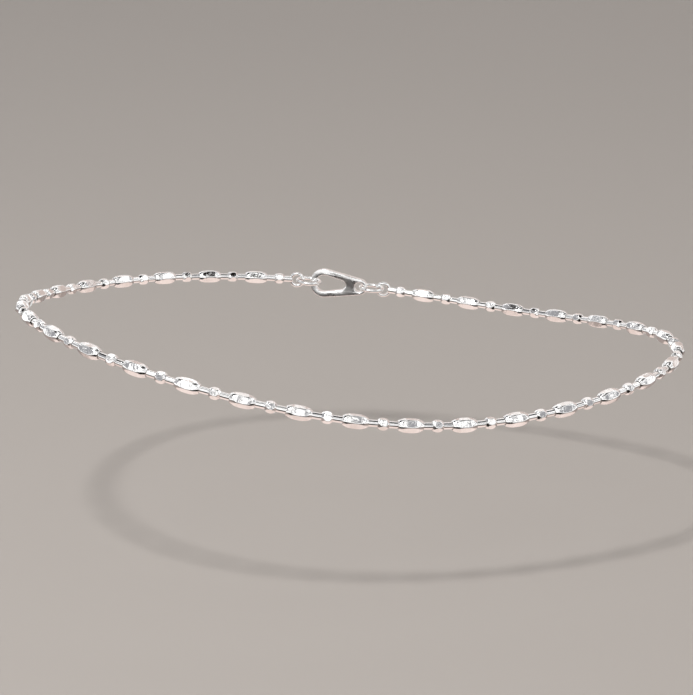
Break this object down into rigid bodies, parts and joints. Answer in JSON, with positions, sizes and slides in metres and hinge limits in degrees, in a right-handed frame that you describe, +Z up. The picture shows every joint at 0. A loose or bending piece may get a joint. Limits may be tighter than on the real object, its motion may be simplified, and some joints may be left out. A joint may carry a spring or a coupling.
{
  "type": "silver bead chain anklet",
  "caption": "Worn loop of faceted oval and round silver beads joined by short pins, closed behind by a plain hook clasp and jump rings.",
  "frame": {"origin": "middle of the loop, where the ankle's centre line passes through it", "axes": "+Z up the leg through the loop, +X across the loop along its longest side, and the clasp at the back, towards +Y"},
  "size_m": [0.0945, 0.0713, 0.0124],
  "materials": {
    "bead_silver": "mirror-polished diamond-cut facets in 925 silver",
    "string_silver": "polished 925 silver pins and small faceted round beads",
    "ring_silver": "polished drawn 925 silver wire",
    "clasp_silver": "polished cast 925 silver"
  },
  "bodies": {
    "root": {"oval_bead_01": "bead_silver", "oval_bead_02": "bead_silver", "oval_bead_03": "bead_silver", "oval_bead_04": "bead_silver", "oval_bead_05": "bead_silver", "oval_bead_06": "bead_silver", "oval_bead_07": "bead_silver", "oval_bead_08": "bead_silver", "oval_bead_09": "bead_silver", "oval_bead_10": "bead_silver", "oval_bead_11": "bead_silver", "oval_bead_12": "bead_silver", "oval_bead_13": "bead_silver", "oval_bead_14": "bead_silver", "oval_bead_15": "bead_silver", "oval_bead_16": "bead_silver", "oval_bead_17": "bead_silver", "oval_bead_18": "bead_silver", "oval_bead_19": "bead_silver", "oval_bead_20": "bead_silver", "oval_bead_21": "bead_silver", "oval_bead_22": "bead_silver", "oval_bead_23": "bead_silver", "oval_bead_24": "bead_silver", "oval_bead_25": "bead_silver", "oval_bead_26": "bead_silver", "oval_bead_27": "bead_silver", "oval_bead_28": "bead_silver", "oval_bead_29": "bead_silver", "oval_bead_30": "bead_silver", "oval_bead_31": "bead_silver", "oval_bead_32": "bead_silver", "bead_string": "string_silver", "jump_ring_1": "ring_silver", "jump_ring_2": "ring_silver", "clasp": "clasp_silver"}
  },
  "joints": []
}
